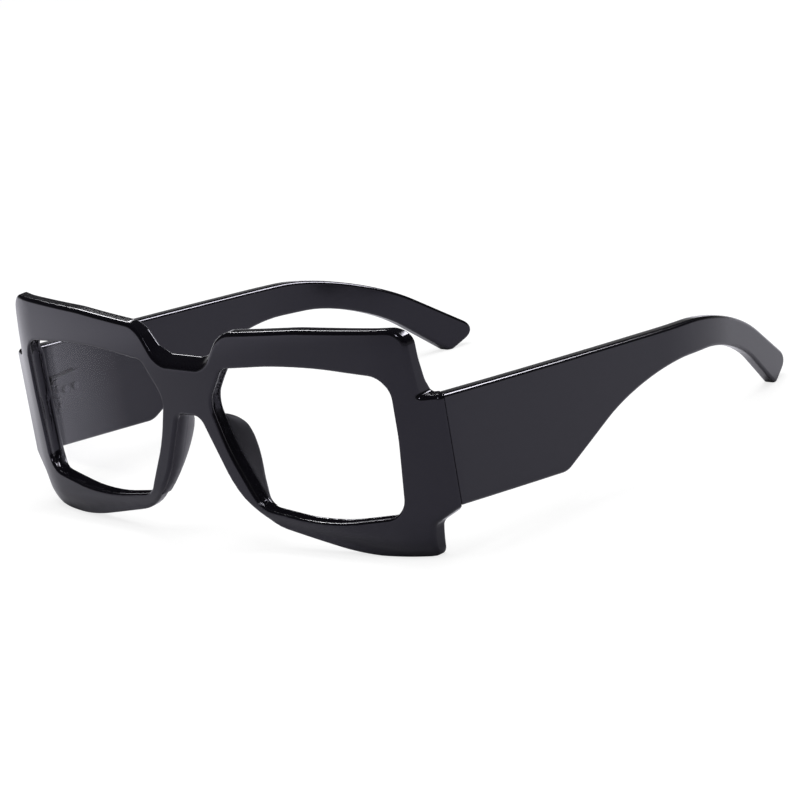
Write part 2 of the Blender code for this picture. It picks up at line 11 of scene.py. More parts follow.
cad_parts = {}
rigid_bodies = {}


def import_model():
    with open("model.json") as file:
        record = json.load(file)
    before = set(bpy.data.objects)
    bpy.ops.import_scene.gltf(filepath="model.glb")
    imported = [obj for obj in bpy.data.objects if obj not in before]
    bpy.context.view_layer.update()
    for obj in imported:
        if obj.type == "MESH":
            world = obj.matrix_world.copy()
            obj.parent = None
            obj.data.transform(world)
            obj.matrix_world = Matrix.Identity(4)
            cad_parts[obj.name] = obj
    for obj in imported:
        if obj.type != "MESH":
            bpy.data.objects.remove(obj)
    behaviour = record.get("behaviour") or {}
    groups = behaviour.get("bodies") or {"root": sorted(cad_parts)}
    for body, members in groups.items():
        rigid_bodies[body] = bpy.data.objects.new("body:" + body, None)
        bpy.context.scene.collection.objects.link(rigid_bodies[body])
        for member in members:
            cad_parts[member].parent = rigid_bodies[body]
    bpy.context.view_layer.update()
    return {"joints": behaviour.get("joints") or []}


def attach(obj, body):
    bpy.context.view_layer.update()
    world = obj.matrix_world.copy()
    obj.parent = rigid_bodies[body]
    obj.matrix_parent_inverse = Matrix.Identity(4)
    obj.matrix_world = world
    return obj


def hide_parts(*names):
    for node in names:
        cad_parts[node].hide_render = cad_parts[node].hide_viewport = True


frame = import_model()

# The front: one injection moulding in black polycarbonate, bent to the face while it is warm,
# tumbled until every edge is soft, then polished to a deep gloss.
# It is drawn flat, in x and z of its own upright axes, and bent round the face afterwards.
MM = 0.001
FRONT_THICKNESS = 4.2 * MM
FACE_RADIUS = 307 * MM
SWEEP_START = 59 * MM
SWEEP_RADIUS = 30 * MM
SWEEP_ANGLE = math.radians(30)
HALF_WIDTH = 74.4 * MM
NOTCH_FLOOR = 11.9 * MM
NOTCH_HALF_WIDTH = 8.2 * MM
NOTCH_FLARE = 6.3 * MM
NOTCH_CANT = 2.5 * MM
JOINT_LAND = 0.9 * MM
MITRE_ANGLE = math.radians(33)
FRONT_EDGE = 1.0 * MM
REAR_EDGE = 1.1 * MM
OPENING_FRONT_EDGE = 0.65 * MM
OPENING_REAR_EDGE = 0.45 * MM
JOINT_EDGE = 0.3 * MM
EDGE_ANGLE = math.radians(40)
GROOVE_WIDTH = 2.2 * MM
GROOVE_DEPTH = 1.0 * MM
ARC_STEP = math.radians(9)
ARC_LENGTH = 1.5 * MM
BEND_SPACING = 1.4 * MM
LEVEL_SPACING = 0.9 * MM
BROW_LEVELS = 16
RIM_LEVELS = 17
ENDPIECE_TOP = 6.85 * MM
ENDPIECE_BOTTOM = -21.1 * MM
RIM_LEVELS_TOP = ENDPIECE_BOTTOM + 2 * MM
BLOCK_FADE = 3.0 * MM
LOWER_WRAP = 2.4 * MM
BROW_LEAN = 0.9 * MM
BROW_THINNING = 0.8 * MM
BROW_START = 8 * MM
WRAP_START = 40 * MM
WRAP_END = 67 * MM
RIM_FOOT = -22.5 * MM
RIM_FOOT_SLOPE = 0.177
PILLOW_DEPTH = 1.4 * MM
PILLOW_REACH = 6.0 * MM
TEMPLE_THICKNESS = 4.0 * MM
HINGE_PLACE = Vector((68.6, 17.307, -6.8)) * MM
# One half's outline and its opening, as x, z and radius in millimetres from the notch's floor
# outwards and round, and from the opening's upper inner corner round by the nose
FRONT_CORNERS = (
    (8.2, 11.9, 6.0), (14.4, 21.4, 7.0), (37.87, 23.05, 59.5), (68.2, 23.5, 4.6),
    (69.5, 6.85, 0.9), (74.4, 6.85, 1.3), (74.4, -21.1, 1.3), (68.2, -25.2, 2.5),
    (66.3, -35.1, 3.4), (45.83, -33.0, 80.9), (20.93, -27.6, 15.0), (11.98, -19.2, 25.0),
    (3.89, -0.61, 3.0),
)
OPENING_CORNERS = (
    (14.0, 12.41, 2.96), (8.1, 3.06, 5.9), (11.58, -8.4, 39.7), (19.62, -23.35, 5.3),
    (39.01, -26.1, 59.1), (62.0, -22.75, 5.6), (63.45, -3.26, 59.1), (63.45, 11.95, 5.8),
    (36.99, 14.65, 117),
)


def linear(hex_colour):
    """Linear red, green, blue and alpha of an sRGB hex colour."""
    shares = [int(hex_colour[i : i + 2], 16) / 255 for i in (1, 3, 5)]
    return [s / 12.92 if s <= 0.04045 else ((s + 0.055) / 1.055) ** 2.4 for s in shares] + [1]


def add_node(tree, kind, settings=(), **inputs):
    """Adds a node. An input named like Base_Color takes a value or another node's socket."""
    node = tree.nodes.new(kind)
    for name, value in dict(settings).items():
        setattr(node, name, value)
    for name, value in inputs.items():
        name = name.replace("_", " ")
        socket = node.inputs[int(name[2:]) if name.startswith("in") else name]
        if isinstance(value, bpy.types.NodeSocket):
            tree.links.new(value, socket)
        else:
            socket.default_value = value
    return node


def new_material(name):
    made = bpy.data.materials.new(name)
    made.use_nodes = True
    made.node_tree.nodes.clear()
    return made, made.node_tree


FLOW_SIZE = 9 * MM
SKIN_SIZE = 2.4 * MM


def black_plastic(name, colour, haze, rub_width):
    """Moulded black plastic: a gloss skin that waves a little, over a faint flow in the colour.

    The rubbing marks are finer on the real one, and are drawn as wide as they need to show.
    """
    made, tree = new_material(name)
    place = add_node(tree, "ShaderNodeTexCoord").outputs["Object"]
    flow = add_node(tree, "ShaderNodeTexNoise", Vector=place, Scale=1 / FLOW_SIZE, Detail=2.0)
    tint = add_node(
        tree, "ShaderNodeMix", {"data_type": "RGBA"}, Factor=flow.outputs["Fac"],
        in6=linear(colour[0]), in7=linear(colour[1]),
    )
    rubbed = add_node(tree, "ShaderNodeTexNoise", Vector=place, Scale=1 / rub_width, Detail=3.0)
    gloss = add_node(
        tree, "ShaderNodeMapRange", Value=rubbed.outputs["Fac"], To_Min=haze[0], To_Max=haze[1]
    )
    skin = add_node(tree, "ShaderNodeTexNoise", Vector=place, Scale=1 / SKIN_SIZE, Detail=2.0)
    bump = add_node(
        tree, "ShaderNodeBump", Strength=0.06, Distance=0.05 * MM, Height=skin.outputs["Fac"]
    )
    shader = add_node(
        tree, "ShaderNodeBsdfPrincipled", Base_Color=tint.outputs[2], Roughness=gloss.outputs[0],
        IOR=1.5, Normal=bump.outputs[0],
    )
    shader.inputs["Specular IOR Level"].default_value = 0.4
    shader.inputs["Specular Tint"].default_value = linear("#efecff")
    add_node(tree, "ShaderNodeOutputMaterial", Surface=shader.outputs[0])
    return made


def outline_face(bm, corners):
    """A flat face in x and z from (x, z, radius) corners in millimetres, rounded by bevels."""
    places = [Vector((x, z)) * MM for x, z, _ in corners]
    verts = [bm.verts.new((place.x, 0, place.y)) for place in places]
    bm.faces.new(verts)
    for index, (_, _, radius) in enumerate(corners):
        before = places[index - 1] - places[index]
        after = places[(index + 1) % len(places)] - places[index]
        turn = math.pi - before.angle(after)
        reach = min(radius * MM * math.tan(turn / 2), before.length * 0.49, after.length * 0.49)
        if reach > 0.01 * MM:
            bmesh.ops.bevel(
                bm, geom=[verts[index]], offset=reach, offset_type="OFFSET",
                segments=max(3, math.ceil(turn / ARC_STEP), math.ceil(reach / ARC_LENGTH)),
                profile=0.5, affect="VERTICES", material=-1, clamp_overlap=False,
            )


def plan(vert):
    return round(vert.co.x, 6), round(vert.co.z, 6)


def thicken(bm, thickness):
    """Extrudes the flat faces into a closed plate, from y = 0 to its thickness."""
    made = bmesh.ops.extrude_face_region(bm, geom=bm.faces[:])
    risen = [item for item in made["geom"] if isinstance(item, BMVert)]
    bmesh.ops.translate(bm, vec=(0, thickness, 0), verts=risen)
    bmesh.ops.recalc_face_normals(bm, faces=bm.faces[:])


def round_rims(bm, chosen, level, offset, segments):
    """Rounds the plate's edges that lie at this depth and whose places are chosen."""
    edges = [
        edge for edge in bm.edges
        if all(abs(vert.co.y - level) < 1e-7 and chosen(plan(vert)) for vert in edge.verts)
        and edge.calc_face_angle(0) > EDGE_ANGLE
    ]
    bmesh.ops.bevel(
        bm, geom=edges, offset=offset, offset_type="OFFSET", segments=segments, profile=0.5,
        affect="EDGES", material=-1, clamp_overlap=False, loop_slide=True,
    )


def score(bm, axis, places):
    """Cuts every face at these places along an axis, so that the plate can bend there."""
    for place in places:
        point, normal = Vector(), Vector()
        point[axis], normal[axis] = place, 1
        everything = bm.verts[:] + bm.edges[:] + bm.faces[:]
        bmesh.ops.bisect_plane(bm, geom=everything, dist=1e-7, plane_co=point, plane_no=normal)


def trim(bm, point, normal, soft=0.0):
    """Cuts off what lies on the normal's side of a plane, closes the cut and softens its edge."""
    everything = bm.verts[:] + bm.edges[:] + bm.faces[:]
    cut = bmesh.ops.bisect_plane(
        bm, geom=everything, plane_co=point, plane_no=normal, clear_outer=True
    )["geom_cut"]
    edges = [item for item in cut if isinstance(item, BMEdge)]
    bmesh.ops.holes_fill(bm, edges=edges, sides=0)
    if soft:
        bmesh.ops.bevel(
            bm, geom=edges, offset=soft, offset_type="OFFSET", segments=2, profile=0.5,
            affect="EDGES", material=-1, clamp_overlap=True,
        )


def face_turn(x):
    """How far the face has turned back at x, as an angle."""
    start = math.asin(SWEEP_START / FACE_RADIUS)
    if x <= SWEEP_START:
        return math.asin(x / FACE_RADIUS)
    lean = math.sin(start) + (x - SWEEP_START) / SWEEP_RADIUS
    return math.asin(min(lean, math.sin(SWEEP_ANGLE)))


def face_depth(x):
    """Depth of the front's face at x: a gentle arc, a tighter one, then straight."""
    x = abs(x)
    start = math.asin(SWEEP_START / FACE_RADIUS)
    end = SWEEP_START + SWEEP_RADIUS * (math.sin(SWEEP_ANGLE) - math.sin(start))
    depth = FACE_RADIUS * (1 - math.cos(min(face_turn(x), start)))
    if x > SWEEP_START:
        depth += SWEEP_RADIUS * (math.cos(start) - math.cos(face_turn(x)))
    return depth + max(0, x - end) * math.tan(SWEEP_ANGLE)


joint_outer = Vector((HALF_WIDTH, face_depth(HALF_WIDTH) + JOINT_LAND))
joint_inner = joint_outer + Vector((-1, math.tan(MITRE_ANGLE))) * TEMPLE_THICKNESS
sweep_rear = Vector(
    (SWEEP_START, face_depth(SWEEP_START) + FRONT_THICKNESS / math.cos(face_turn(SWEEP_START)))
)
seat_slope = (joint_inner.y - sweep_rear.y) / (joint_inner.x - sweep_rear.x)


def rear_depth(x):
    """Depth of the rear face at x: parallel to the face, then flat behind the swept corner."""
    x = abs(x)
    if x <= SWEEP_START:
        return face_depth(x) + FRONT_THICKNESS / math.cos(face_turn(x))
    return sweep_rear.y + (x - SWEEP_START) * seat_slope


def ramp(value, start, end):
    """0 at start, 1 at end and in proportion between them."""
    return max(0, min(1, (value - start) / (end - start)))


def bend_front(bm):
    """Bends what was drawn flat round the face, and cants the floor of the brow notch.

    The rims stay thin above and below the endpieces, the brow leans back and thins towards its
    ends, the lower outer corners wrap back, and the rims' lower edge is pillowed.
    """
    for vert in bm.verts:
        x, depth, z = vert.co
        side = abs(x)
        block = ramp(z, ENDPIECE_TOP + BLOCK_FADE, ENDPIECE_TOP)
        block *= ramp(z, ENDPIECE_BOTTOM - BLOCK_FADE, ENDPIECE_BOTTOM)
        brow = ramp(z, BROW_START, FRONT_CORNERS[3][1] * MM)
        thin = face_depth(x) + FRONT_THICKNESS / math.cos(face_turn(side))
        thin -= BROW_THINNING * ramp(side, WRAP_START, WRAP_END) * min(1, 2 * brow)
        rear = thin + block * (rear_depth(x) - thin)
        wrap = ramp(side, WRAP_START, WRAP_END)
        wrap *= ramp(z, ENDPIECE_BOTTOM, FRONT_CORNERS[8][1] * MM)
        foot = RIM_FOOT - RIM_FOOT_SLOPE * side
        pillow = PILLOW_DEPTH * ramp(z, foot + PILLOW_REACH, foot) ** 2
        share = depth / FRONT_THICKNESS
        near = face_depth(x) + pillow
        beyond = max(0, side - NOTCH_HALF_WIDTH) / NOTCH_FLARE
        lift = NOTCH_CANT * share * max(0, min(1, z / NOTCH_FLOOR)) * max(0, 1 - beyond)
        turned_back = LOWER_WRAP * wrap**2 + BROW_LEAN * brow**2
        vert.co = (x, near + share * (rear - near) + turned_back, z + lift)


def finish_piece(name, bm, material, body, flats=True):
    """A finished piece at the origin, smoothly shaded, riding on its body."""
    bmesh.ops.recalc_face_normals(bm, faces=bm.faces[:])
    if bm.calc_volume(signed=True) < 0:
        bmesh.ops.reverse_faces(bm, faces=bm.faces[:])
    mesh = bpy.data.meshes.new(name)
    bm.to_mesh(mesh)
    bm.free()
    mesh.shade_smooth()
    mesh.materials.append(material)
    piece = bpy.data.objects.new(name, mesh)
    bpy.context.scene.collection.objects.link(piece)
    if flats:
        shading = piece.modifiers.new("even shading", "WEIGHTED_NORMAL")
        shading.weight = 50
    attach(piece, body)
    return piece


left_joint = next(j for j in frame["joints"] if j["child"] == "temple_left")
lean = math.atan2(-left_joint["axis"][1], left_joint["axis"][2])
upright = Matrix.Rotation(lean, 4, "X")
stand = Matrix.Translation(Vector(left_joint["pos_m"]) - upright @ HINGE_PLACE) @ upright

# Polycarbonate polished after moulding: near black, with the lamps as thin bright lines on it
black_polycarbonate = black_plastic(
    "polished_black_polycarbonate", ("#0b0a0e", "#111016"), (0.11, 0.16), 0.6 * MM
)
bm = bmesh.new()
other_half = [(-x, z, radius) for x, z, radius in reversed(FRONT_CORNERS)]
outline_face(bm, list(FRONT_CORNERS) + other_half)
rim_places = {plan(vert) for vert in bm.verts}
for side in (1, -1):
    outline_face(bm, [(side * x, z, radius) for x, z, radius in OPENING_CORNERS])
opening_places = {plan(vert) for vert in bm.verts} - rim_places
outline_sides = [tuple(plan(vert) for vert in edge.verts) for edge in bm.edges]
rim_sides = [ends for ends in outline_sides if ends[0] in rim_places]
opening_sides = [ends for ends in outline_sides if ends[0] in opening_places]
bmesh.ops.delete(bm, geom=bm.faces[:], context="FACES_ONLY")
bmesh.ops.triangle_fill(bm, use_beauty=True, use_dissolve=True, edges=bm.edges[:])
thicken(bm, FRONT_THICKNESS)

# The lens groove runs round each opening, as a V in its wall
for share, sink in ((-0.5, False), (0.0, True), (0.5, False)):
    level = FRONT_THICKNESS / 2 + share * GROOVE_WIDTH
    walls = [
        face for face in bm.faces
        if abs(face.normal.y) < 0.5 and all(plan(vert) in opening_places for vert in face.verts)
    ]
    around = {edge for face in walls for edge in face.edges}
    verts = {vert for face in walls for vert in face.verts}
    cut = bmesh.ops.bisect_plane(
        bm, geom=[*verts, *around, *walls], plane_co=(0, level, 0), plane_no=(0, 1, 0)
    )["geom_cut"]
    if sink:
        deep = [item for item in cut if isinstance(item, BMVert)]
bm.normal_update()
for vert, normal in [(vert, vert.normal.copy()) for vert in deep]:
    vert.co -= normal * GROOVE_DEPTH
round_rims(bm, rim_places.__contains__, 0, FRONT_EDGE, 6)
round_rims(bm, rim_places.__contains__, FRONT_THICKNESS, REAR_EDGE, 5)
round_rims(bm, opening_places.__contains__, 0, OPENING_FRONT_EDGE, 4)
round_rims(bm, opening_places.__contains__, FRONT_THICKNESS, OPENING_REAR_EDGE, 3)
bends = math.ceil(HALF_WIDTH / BEND_SPACING)
score(bm, 0, [HALF_WIDTH * step / bends for step in range(1 - bends, bends)])
score(bm, 2, [ENDPIECE_TOP + LEVEL_SPACING * step for step in range(BROW_LEVELS)])
score(bm, 2, [RIM_LEVELS_TOP - LEVEL_SPACING * step for step in range(RIM_LEVELS)])
bend_front(bm)
run = joint_inner - joint_outer
for side in (1, -1):
    cut_place = (side * joint_outer.x, joint_outer.y, 0)
    trim(bm, cut_place, (side * run.y, -run.x, 0), soft=JOINT_EDGE)
bm.transform(stand)
trim(bm, (0, 0, 0), (0, 0, -1))
front = finish_piece("front_moulding", bm, black_polycarbonate, "front")
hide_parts("front_frame")

# The lenses: clear cast plastic, edged to a V that snaps into the groove, with a coating that
# takes the reflections away, so that only the edges, what lies behind them and a painted
# reflection show.
LENS_THICKNESS = 1.8 * MM
LENS_BITE = 0.7 * MM
SEAT_GAP = 0.3 * MM
SMEAR_SIZE = 14 * MM
# Where the painted reflection on the lenses grows, and where it stops short of the rim and the
# lower wall
PAINTED_REFLECTION_START = 24 * MM
PAINTED_REFLECTION_END = 60 * MM
PAINTED_REFLECTION_SLANT = 0.093
PAINTED_REFLECTION_EDGE = (58.2 * MM, 59.6 * MM)
PAINTED_REFLECTION_FLOOR = (12.4 * MM, 13.9 * MM)

# Cast lens plastic with a hard coat, clear seen straight on. Seen at a slant it carries a painted
# reflection: a thin pale layer that glows a little over what is dark behind it, growing outwards,
# stopping short of the rim and fading out towards the opening's lower wall
lens_with_painted_reflection, tree = new_material("coated_clear_lens_plastic")
place = add_node(tree, "ShaderNodeTexCoord").outputs["Object"]
smear = add_node(tree, "ShaderNodeTexNoise", Vector=place, Scale=1 / SMEAR_SIZE, Detail=3.0)
gloss = add_node(
    tree, "ShaderNodeMapRange", Value=smear.outputs["Fac"], To_Min=0.06, To_Max=0.16
)
uneven = add_node(
    tree, "ShaderNodeMapRange", Value=smear.outputs["Fac"], To_Min=0.85, To_Max=1.15
)
parts = add_node(tree, "ShaderNodeSeparateXYZ", Vector=place)
out = add_node(tree, "ShaderNodeMath", {"operation": "ABSOLUTE"}, in0=parts.outputs["X"])
slanted = add_node(
    tree, "ShaderNodeMath", {"operation": "MULTIPLY_ADD"}, in0=parts.outputs["Z"],
    in1=PAINTED_REFLECTION_SLANT, in2=out.outputs[0],
)
# The painted reflection's strength, growing outwards from the nose
haze = add_node(
    tree, "ShaderNodeMapRange", Value=out.outputs[0], From_Min=PAINTED_REFLECTION_START, From_Max=PAINTED_REFLECTION_END,
    To_Min=0.01, To_Max=0.1,
)
inside = add_node(
    tree, "ShaderNodeMapRange", Value=slanted.outputs[0], From_Min=PAINTED_REFLECTION_EDGE[0],
    From_Max=PAINTED_REFLECTION_EDGE[1], To_Min=1.0, To_Max=0.0,
)
above = add_node(
    tree, "ShaderNodeMapRange", Value=parts.outputs["Z"], From_Min=PAINTED_REFLECTION_FLOOR[0],
    From_Max=PAINTED_REFLECTION_FLOOR[1],
)
slant = add_node(tree, "ShaderNodeLayerWeight", Blend=0.5)
shallow = add_node(
    tree, "ShaderNodeMapRange", Value=slant.outputs["Facing"], From_Min=0.32, From_Max=0.45,
    To_Min=0.03, To_Max=1.0,
)
for factor in (inside, above, shallow, uneven):
    haze = add_node(
        tree, "ShaderNodeMath", {"operation": "MULTIPLY"}, in0=haze.outputs[0],
        in1=factor.outputs[0],
    )
# The painted reflection: a pale layer laid on by alpha, which glows by emission
shader = add_node(
    tree, "ShaderNodeBsdfPrincipled", Base_Color=linear("#55545c"), Roughness=gloss.outputs[0],
    Alpha=haze.outputs[0], Emission_Color=linear("#e9e8f6"), Emission_Strength=0.42,
)
add_node(tree, "ShaderNodeOutputMaterial", Surface=shader.outputs[0])

for side, wearer in ((1, "left"), (-1, "right")):
    bm = bmesh.new()
    outline_face(bm, OPENING_CORNERS)
    margin = bmesh.ops.inset_region(
        bm, faces=bm.faces[:], thickness=SEAT_GAP, use_even_offset=True, use_boundary=True
    )["faces"]
    bmesh.ops.delete(bm, geom=margin, context="FACES")
    inner = bm.faces[:]
    bmesh.ops.inset_region(
        bm, faces=inner, thickness=SEAT_GAP + LENS_BITE, use_outset=True,
        use_even_offset=True, use_boundary=True,
    )
    caps = {vert for face in inner if face.is_valid for vert in face.verts}
    bmesh.ops.translate(bm, vec=(0, -LENS_THICKNESS / 2, 0), verts=list(caps))
    bmesh.ops.mirror(bm, geom=bm.verts[:] + bm.edges[:] + bm.faces[:], axis="Y", merge_dist=1e-6)
    bmesh.ops.translate(bm, vec=(0, FRONT_THICKNESS / 2, 0), verts=bm.verts[:])
    score(bm, 0, [HALF_WIDTH * step / bends for step in range(1, bends)])
    bend_front(bm)
    bmesh.ops.scale(bm, vec=(side, 1, 1), verts=bm.verts[:])
    bm.transform(stand)
    lens = finish_piece("clear_lens_" + wearer, bm, lens_with_painted_reflection, "front")
    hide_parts("lens_" + wearer)

# The nose pads: a fin behind each side of the nose gap, in the front's black plastic with a
# satin skin and a colour painted lighter, welded to the rim and splayed to the slope of the nose.
PAD_TOP = -1.0 * MM
PAD_LENGTH = 22.4 * MM
PAD_HEIGHT = 6.4 * MM
PAD_SPLAY = 1.3 * MM
PAD_SKIN = 0.03 * MM
PAD_APRON = 1.1 * MM
# Where the middle of a rounded edge lies, from its two ends, as a share of its radius
ROUND_MIDDLE = 0.293
# Down the pad and its height there, then across the rim and off it, all as shares
PAD_STATIONS = (
    (0.0, 0.12), (0.02, 0.34), (0.08, 0.66), (0.17, 0.92), (0.27, 1.0), (0.38, 0.98), (0.5, 0.89),
    (0.62, 0.74), (0.745, 0.54), (0.86, 0.36), (0.94, 0.2), (0.98, 0.1), (1.0, 0.03),
)
PAD_SECTION = (
    (0.0, 0.0), (0.0, 0.14), (0.04, 0.36), (0.14, 0.64), (0.3, 0.9), (0.5, 1.0), (0.66, 0.9),
    (0.85, 0.5), (0.95, 0.14), (0.96, 0.0),
)
PAD_FINENESS = 4


def smooth_through(points, steps):
    """Points of a smooth curve through these ones, with this many steps between two of them."""
    ends = [points[0], *points, points[-1]]
    curve = []
    for before, start, end, after in zip(ends, ends[1:], ends[2:], ends[3:]):
        for step in range(steps):
            t = step / steps
            weights = (
                -t / 2 + t**2 - t**3 / 2, 1 - 2.5 * t**2 + 1.5 * t**3,
                t / 2 + 2 * t**2 - 1.5 * t**3, (t**3 - t**2) / 2,
            )
            near = zip(before, start, end, after)
            curve.append(tuple(sum(w * c for w, c in zip(weights, group)) for group in near))
    return curve + [points[-1]]


def flank(sides, z):
    """The smallest positive x at which an outline, given by its sides, crosses this height."""
    found = [
        ax + (bx - ax) * (z - az) / (bz - az) for (ax, az), (bx, bz) in sides
        if (az - z) * (bz - z) < 0 and min(ax, bx) > 0
    ]
    return min(found)


# The same plastic as it leaves a satin mould: a soft sheen without lines, in a colour painted
# lighter than the front's, which stands in for the light the pads catch
satin_polycarbonate_painted_lighter = black_plastic(
    "satin_black_polycarbonate_painted_lighter", ("#2a292e", "#353439"), (0.3, 0.42), 0.25 * MM
)
for side, wearer in ((1, "left"), (-1, "right")):
    bm = bmesh.new()
    rows = []
    for down, rise in smooth_through(PAD_STATIONS, PAD_FINENESS):
        z = PAD_TOP - down * PAD_LENGTH
        inner = flank(rim_sides, z)
        width = flank(opening_sides, z) - inner
        rear = rear_depth(inner)
        # Round the rim's rear edge and along its wall, and back a skin's thickness nearer to it
        middle = REAR_EDGE * ROUND_MIDDLE
        bend = [(REAR_EDGE, 0), (middle, middle), (0, REAR_EDGE)]
        section = [(inner + x, rear - y) for x, y in bend]
        section.append((inner, face_depth(inner) + PAD_APRON))
        section.append((inner - PAD_SKIN, section[-1][1]))
        for across, off in smooth_through(PAD_SECTION, PAD_FINENESS):
            x = inner + across * width
            y = rear_depth(x) + PAD_SKIN + off * rise * PAD_HEIGHT
            section.append((x + off * rise * PAD_SPLAY - (0 if across else PAD_SKIN), y))
        rows.append([bm.verts.new((x, y, z)) for x, y in section])
    for near, far in zip(rows, rows[1:]):
        for index in range(len(near)):
            bm.faces.new((near[index - 1], near[index], far[index], far[index - 1]))
    bm.faces.new(rows[0])
    bm.faces.new(rows[-1])
    bmesh.ops.scale(bm, vec=(side, 1, 1), verts=bm.verts[:])
    bm.transform(stand)
    pad = finish_piece(
        "nose_pad_fin_" + wearer, bm, satin_polycarbonate_painted_lighter, "front",
        flats=False,
    )
    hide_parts("nose_pad_" + wearer)

# The temples: broad flat mouldings in the same plastic, bulging a little beside the head and
# tucked in behind the ear, with a stepped lower edge and a slanting cut across the tip.
TEMPLE_LEAN = math.radians(-7)
TEMPLE_EDGE = 1.0 * MM
JOINT_GAP = 0.12 * MM
BOW_APEX = 37 * MM
BOW_RADIUS = 1700 * MM
TUCK_START = 76.2 * MM
TUCK_RADIUS = 112 * MM
TUCK_ANGLE = math.radians(17.8)
TEMPLE_BEND_SPACING = 3 * MM
# Its outline, as distance behind the hinge, height and radius in millimetres
TEMPLE_CORNERS = (
    (-16.8, -14.6, 0), (36.5, -14.6, 5.5), (68.17, 4.3, 78.4), (110.68, 4.3, 57.2),
    (137.2, -14.5, 1.9), (146.6, -9.1, 3.2), (108.6, 13.1, 93.8), (-16.8, 13.1, 0),
)


def temple_side(y):
    """Where the temple's outer face lies at y behind the hinge: bulging, then tucked in."""
    slope = (min(y, TUCK_START) - BOW_APEX) / BOW_RADIUS
    side = -BOW_RADIUS * slope * slope / 2
    if y > TUCK_START:
        end = TUCK_START + TUCK_RADIUS * (math.sin(TUCK_ANGLE) - slope)
        turned_in = slope + (min(y, end) - TUCK_START) / TUCK_RADIUS
        side -= TUCK_RADIUS * (math.sqrt(1 - slope**2) - math.sqrt(1 - turned_in**2))
        side -= max(0, y - end) * math.tan(TUCK_ANGLE)
    return side


joint = joint_outer.y - HINGE_PLACE.y
base = HALF_WIDTH - HINGE_PLACE.x - temple_side(joint)
into_temple = Matrix.Rotation(-TEMPLE_LEAN, 4, "X")
for side, wearer in ((1, "left"), (-1, "right")):
    bm = bmesh.new()
    outline_face(bm, TEMPLE_CORNERS)
    thicken(bm, TEMPLE_THICKNESS)
    round_rims(bm, lambda place: True, 0, TEMPLE_EDGE, 5)
    round_rims(bm, lambda place: True, TEMPLE_THICKNESS, TEMPLE_EDGE, 5)
    bends = math.ceil(TEMPLE_CORNERS[5][0] * MM / TEMPLE_BEND_SPACING)
    score(bm, 0, [TEMPLE_BEND_SPACING * step for step in range(bends)])
    for vert in bm.verts:
        along, depth, up = vert.co
        vert.co = (base + temple_side(along) - depth, along, up)
    normal = Vector((-run.y, run.x, 0)).normalized()
    cut_place = Vector((joint_outer.x - HINGE_PLACE.x, joint, 0)) - normal * JOINT_GAP
    trim(bm, into_temple @ cut_place, into_temple @ normal, soft=JOINT_EDGE)
    bm.transform(stand @ Matrix.Translation(HINGE_PLACE) @ into_temple.inverted())
    trim(bm, (0, 0, 0), (0, 0, -1))
    bmesh.ops.scale(bm, vec=(side, 1, 1), verts=bm.verts[:])
    temple = finish_piece(
        "temple_moulding_" + wearer, bm, black_polycarbonate, "temple_" + wearer
    )
    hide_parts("temple_" + wearer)

# The hinges: five-barrel leaves stamped from steel and plated black, so that they vanish against
# the plastic, with turned screws plated the same. Their CAD solids stay, and get the metal.
def plated_metal(name, colour, haze, grain_mm):
    """Black plated metal with fine marks, drawn out along the piece where the grain is."""
    made, tree = new_material(name)
    place = add_node(tree, "ShaderNodeTexCoord").outputs["Object"]
    grain = add_node(
        tree, "ShaderNodeMapping", Vector=place, Scale=[1 / (size * MM) for size in grain_mm]
    )
    marks = add_node(tree, "ShaderNodeTexNoise", Vector=grain.outputs[0], Scale=1.0, Detail=4.0)
    gloss = add_node(
        tree, "ShaderNodeMapRange", Value=marks.outputs["Fac"], To_Min=haze[0], To_Max=haze[1]
    )
    tint = add_node(
        tree, "ShaderNodeMix", {"data_type": "RGBA"}, Factor=marks.outputs["Fac"],
        in6=linear(colour[0]), in7=linear(colour[1]),
    )
    bump = add_node(
        tree, "ShaderNodeBump", Strength=0.15, Distance=0.02 * MM, Height=marks.outputs["Fac"]
    )
    shader = add_node(
        tree, "ShaderNodeBsdfPrincipled", Base_Color=tint.outputs[2], Metallic=1.0,
        Roughness=gloss.outputs[0], Normal=bump.outputs[0],
    )
    add_node(tree, "ShaderNodeOutputMaterial", Surface=shader.outputs[0])
    return made


# Stamped steel, brushed and plated black: a dark grey with marks drawn out along the leaf
leaf_metal = plated_metal(
    "brushed_black_plate", ("#36353a", "#46454b"), (0.3, 0.5), (0.06, 1.6, 0.06)
)
# Turned steel, plated black: a little brighter and more even than the leaves
screw_metal = plated_metal(
    "turned_black_plate", ("#3a393e", "#4c4b51"), (0.2, 0.36), (0.1, 0.1, 0.1)
)
for node in bpy.data.objects:
    if "screw" in node.name:
        node.material_slots[0].material = screw_metal
    elif "leaf" in node.name:
        node.material_slots[0].material = leaf_metal

# The floor: a pale seamless sheet that keeps a soft shadow. Seen directly it is white. In a gloss
# it shows a painted
# reflection: a brighter, lavender copy of the sheet that darkens by real shadow towards what
# stands on it, and that glows more towards −X.
FLOOR_REACH = 6
FLOOR_DROP = 0.05 * MM
PAINTED_SIDE_REFLECTION_START = -130 * MM
PAINTED_SIDE_REFLECTION_END = -250 * MM

# Matt seamless paper: an even pale ground without any mirror, with a brighter copy and a painted
# glow seen only in reflections
floor_paper, tree = new_material("white_floor_sheet")
rays = add_node(tree, "ShaderNodeLightPath")
seen = add_node(
    tree, "ShaderNodeMath", {"operation": "MAXIMUM", "use_clamp": True},
    in0=rays.outputs["Is Camera Ray"], in1=rays.outputs["Is Transmission Ray"],
)
paper = add_node(tree, "ShaderNodeBsdfDiffuse", Color=linear("#9c9c9c"))
